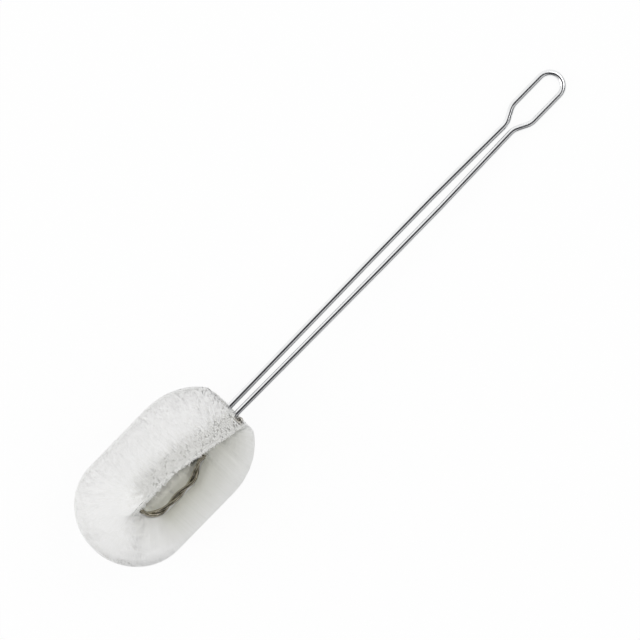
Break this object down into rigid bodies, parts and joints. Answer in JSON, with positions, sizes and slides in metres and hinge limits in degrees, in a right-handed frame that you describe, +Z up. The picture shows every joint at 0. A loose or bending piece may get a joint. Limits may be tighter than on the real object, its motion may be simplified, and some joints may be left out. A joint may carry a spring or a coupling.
{
  "type": "bottle brush",
  "caption": "Soft white bottle brush on a long handle of bent polished wire that ends in a hanging eye.",
  "frame": {"origin": "on the plane the brush lies on, under the middle of its bounding box", "axes": "+Y along the handle to the hanging eye, +X across the handle, +Z up from the plane it lies on"},
  "size_m": [0.0576, 0.3141, 0.0475],
  "materials": {
    "handle_steel": "polished",
    "core_steel": "satin",
    "filament": "matte"
  },
  "bodies": {
    "root": {"handle_wire": "handle_steel", "core_strand_a": "core_steel", "core_strand_b": "core_steel", "binding_wire": "core_steel", "bristle_head": "filament"}
  },
  "joints": []
}
